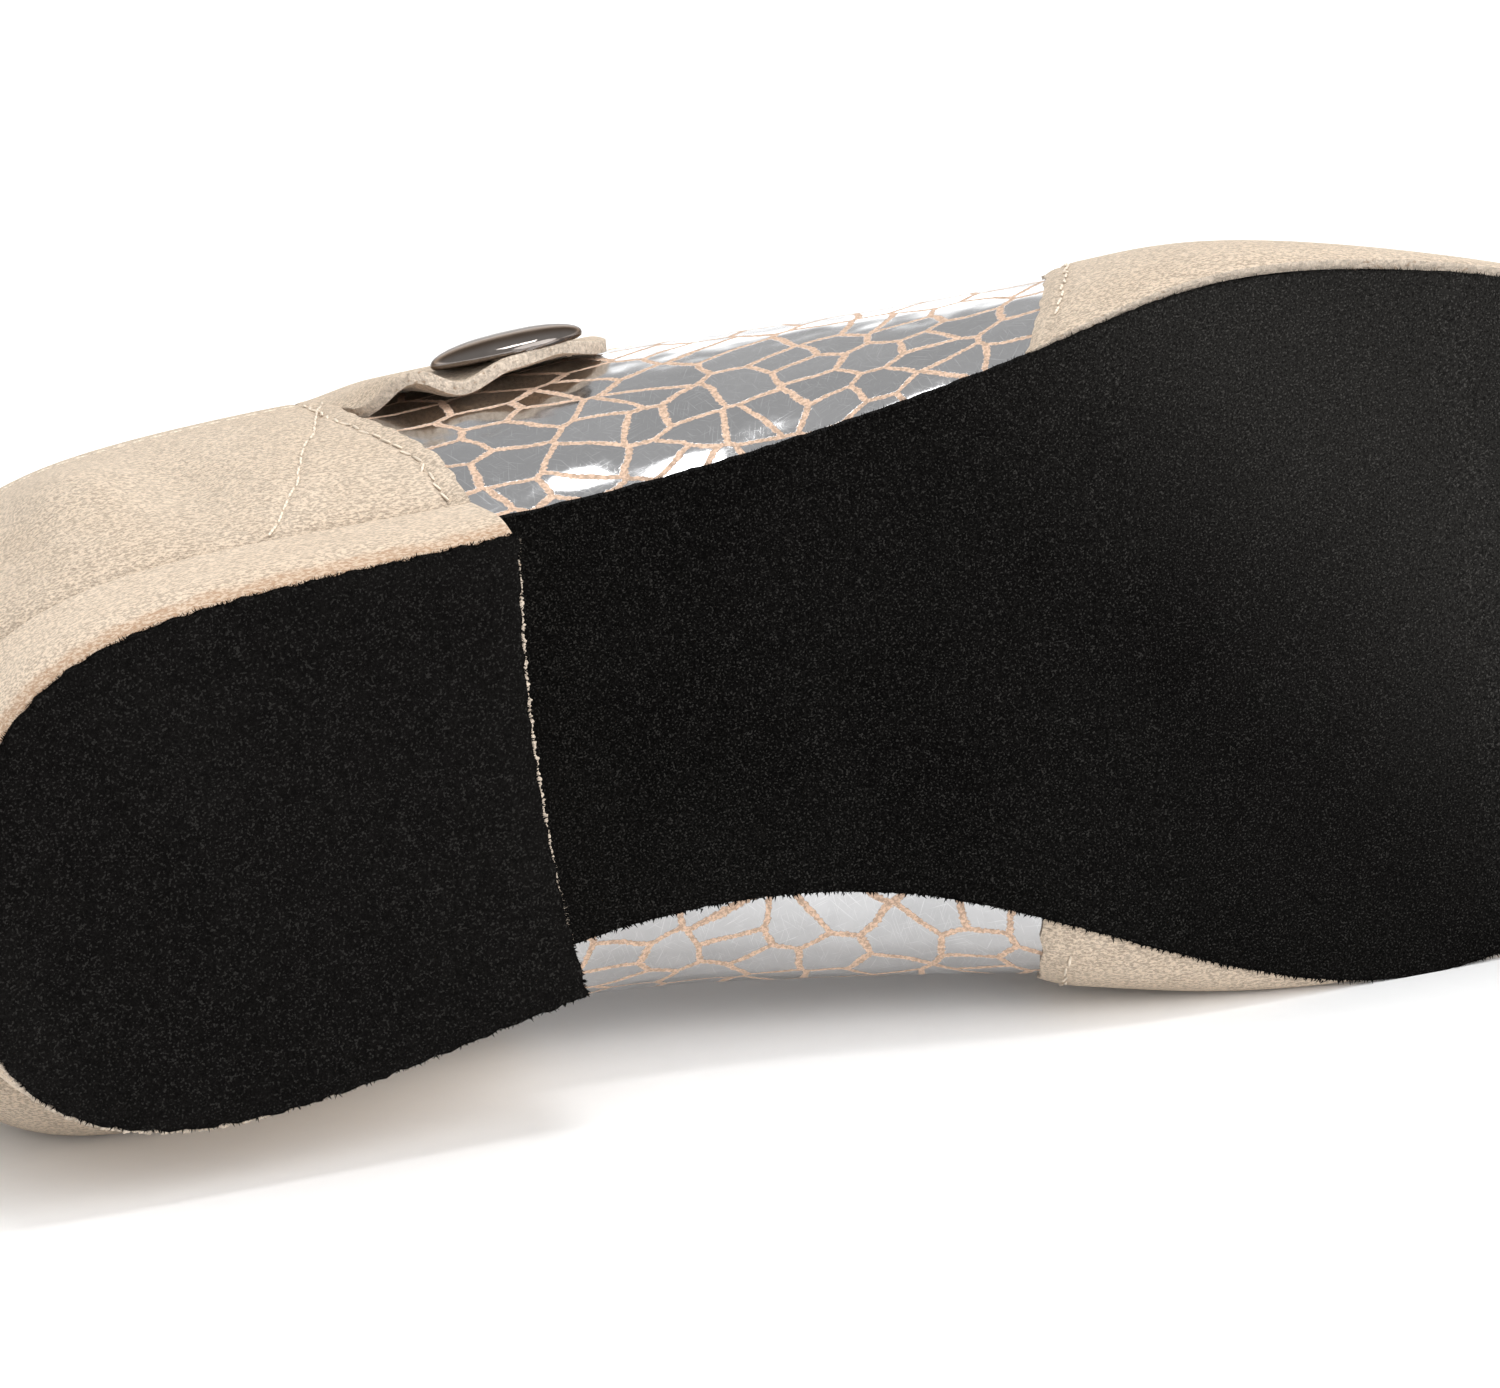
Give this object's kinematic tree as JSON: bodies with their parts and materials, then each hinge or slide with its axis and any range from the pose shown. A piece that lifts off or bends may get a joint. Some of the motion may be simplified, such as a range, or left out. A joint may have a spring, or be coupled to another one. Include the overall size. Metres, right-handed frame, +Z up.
{
  "type": "dance shoe",
  "caption": "Low dance practice shoe for the right foot, lying on its inner side: hollow crackle upper, suede toe and heel panels, thin sole, low heel and buttoned instep strap.",
  "frame": {"origin": "on the floor, under the middle of the bounding box of the shoe as it lies", "axes": "+X along the shoe from heel to toe, +Y from the sole towards the collar, +Z up from the floor the inner side lies on"},
  "size_m": [0.2458, 0.0826, 0.0855],
  "materials": {
    "silver_crackle": "mirror foil with a crackle pattern",
    "sand_suede": "suede nap",
    "black_suede": "brushed suede",
    "sock_leather": "smooth matt",
    "dark_nickel": "polished dark nickel"
  },
  "bodies": {
    "root": {"upper": "silver_crackle", "quarter": "sand_suede", "vamp": "sand_suede", "outsole": "black_suede", "insole": "sock_leather", "heel": "sand_suede", "heel_top_piece": "black_suede", "strap": "sand_suede", "button": "dark_nickel"}
  },
  "joints": []
}
